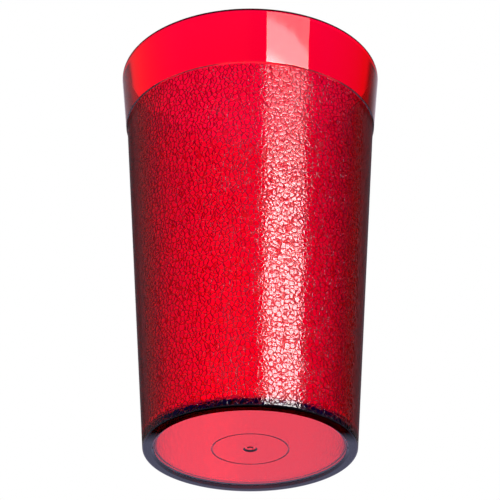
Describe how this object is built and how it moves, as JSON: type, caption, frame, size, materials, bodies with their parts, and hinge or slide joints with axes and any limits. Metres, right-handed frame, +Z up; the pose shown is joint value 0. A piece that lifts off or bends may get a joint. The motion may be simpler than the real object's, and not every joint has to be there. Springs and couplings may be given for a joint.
{
  "type": "drinking tumbler",
  "caption": "Tapered clear red plastic drinking tumbler with a smooth rim band, a pebble-grained body wall and a rounded foot, moulded in one piece.",
  "frame": {"origin": "centre of the underside, on the surface that the tumbler stands on", "axes": "+Z up the axis of revolution, out of the mouth; X and Y are free, because the shape is the same all round"},
  "size_m": [0.066, 0.066, 0.1043],
  "materials": {
    "clear_red_plastic": "clear transparent red, polished inside, on the band and on the underside; fine pebble grain on the outside of the body wall"
  },
  "bodies": {
    "root": {"tumbler": "clear_red_plastic"}
  },
  "joints": []
}
